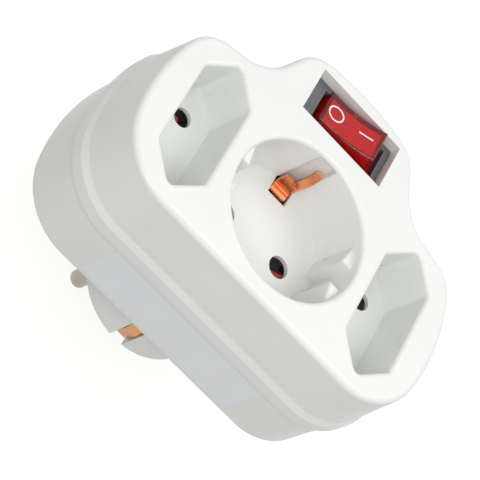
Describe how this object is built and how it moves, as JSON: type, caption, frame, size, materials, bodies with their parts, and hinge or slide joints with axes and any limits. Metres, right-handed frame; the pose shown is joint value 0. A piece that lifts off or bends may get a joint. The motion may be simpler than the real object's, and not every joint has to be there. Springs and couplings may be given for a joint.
{
  "type": "multi socket adapter",
  "caption": "Switched multi-socket mains adapter: earthed round well between flat hexagonal wells, red lit rocker switch, rear plug nose with round pins",
  "frame": {"origin": "centre of the plug nose's end face, which the plug pins stand on", "axes": "+X along the row of sockets, +Y toward the switch, +Z out of the sockets"},
  "size_m": [0.0998, 0.0716, 0.0796],
  "materials": {
    "shell_front": "white moulded plastic, soft gloss",
    "shell_rear": "white moulded plastic, soft gloss",
    "label_film": "bare silver-grey satin film",
    "pin_metal": "nickel-plated brass, turned",
    "brass": "punched brass sheet",
    "copper": "copper-coloured sprung bronze strip",
    "lead_cover": "blue insulation",
    "shutter_red": "dark red moulded plastic",
    "spring_steel": "drawn spring wire",
    "switch_grey": "dark grey moulded plastic",
    "rocker_red": "clear red polished plastic",
    "plunger_white": "natural nylon",
    "lamp_glass": "clear glass envelope",
    "resistor_body": "lacquered body",
    "screw_steel": "zinc-plated steel",
    "carrier_white": "milky moulded plastic under the clear cap"
  },
  "bodies": {
    "adapter": {"front_housing": "shell_front", "rear_housing": "shell_rear", "rating_label": "label_film", "plug_pin_live": "pin_metal", "plug_pin_neutral": "pin_metal", "live_link": "brass", "live_rail": "brass", "neutral_rail": "brass", "lamp_lead": "lead_cover", "earth_strap": "copper", "plug_earth_clip_upper": "copper", "plug_earth_clip_lower": "copper", "switch_case": "switch_grey", "terminal_live": "brass", "terminal_switched": "brass", "terminal_lamp": "brass", "lamp": "lamp_glass", "lamp_resistor": "resistor_body", "housing_screws": "screw_steel"},
    "rocker_body": {"rocker": "rocker_red", "rocker_carrier": "carrier_white", "plunger": "plunger_white", "plunger_spring": "spring_steel"},
    "blade_body": {"contact_blade": "brass"},
    "centre_shutter_body": {"shutter_centre": "shutter_red", "spring_centre": "spring_steel"},
    "left_shutter_body": {"shutter_left": "shutter_red", "spring_left": "spring_steel"},
    "right_shutter_body": {"shutter_right": "shutter_red", "spring_right": "spring_steel"}
  },
  "joints": [
    {"name": "rocker_tilt", "type": "hinge", "parent": "adapter", "child": "rocker_body", "pos_m": [0.0012, 0.0321, 0.0525], "axis": [0, 1, 0], "range_deg": [0, 26]},
    {"name": "blade_tilt", "type": "hinge", "parent": "adapter", "child": "blade_body", "pos_m": [0.0012, 0.0321, 0.0414], "axis": [0, -1, 0], "range_deg": [0, 16]},
    {"name": "centre_shutter_turn", "type": "hinge", "parent": "adapter", "child": "centre_shutter_body", "pos_m": [0, 0, 0.0378], "axis": [0, 0, -1], "range_deg": [0, 22], "stiffness_Nm_per_rad": 0.01, "springref_deg": -11.46},
    {"name": "left_shutter_turn", "type": "hinge", "parent": "adapter", "child": "left_shutter_body", "pos_m": [-0.03195, 0, 0.0397], "axis": [0, 0, 1], "range_deg": [0, 18], "stiffness_Nm_per_rad": 0.01, "springref_deg": -11.46},
    {"name": "right_shutter_turn", "type": "hinge", "parent": "adapter", "child": "right_shutter_body", "pos_m": [0.03195, 0, 0.0397], "axis": [0, 0, 1], "range_deg": [0, 18], "stiffness_Nm_per_rad": 0.01, "springref_deg": -11.46}
  ],
  "couplings": [
    {"joint": "blade_tilt", "follows": "rocker_tilt", "ratio": 0.615}
  ]
}
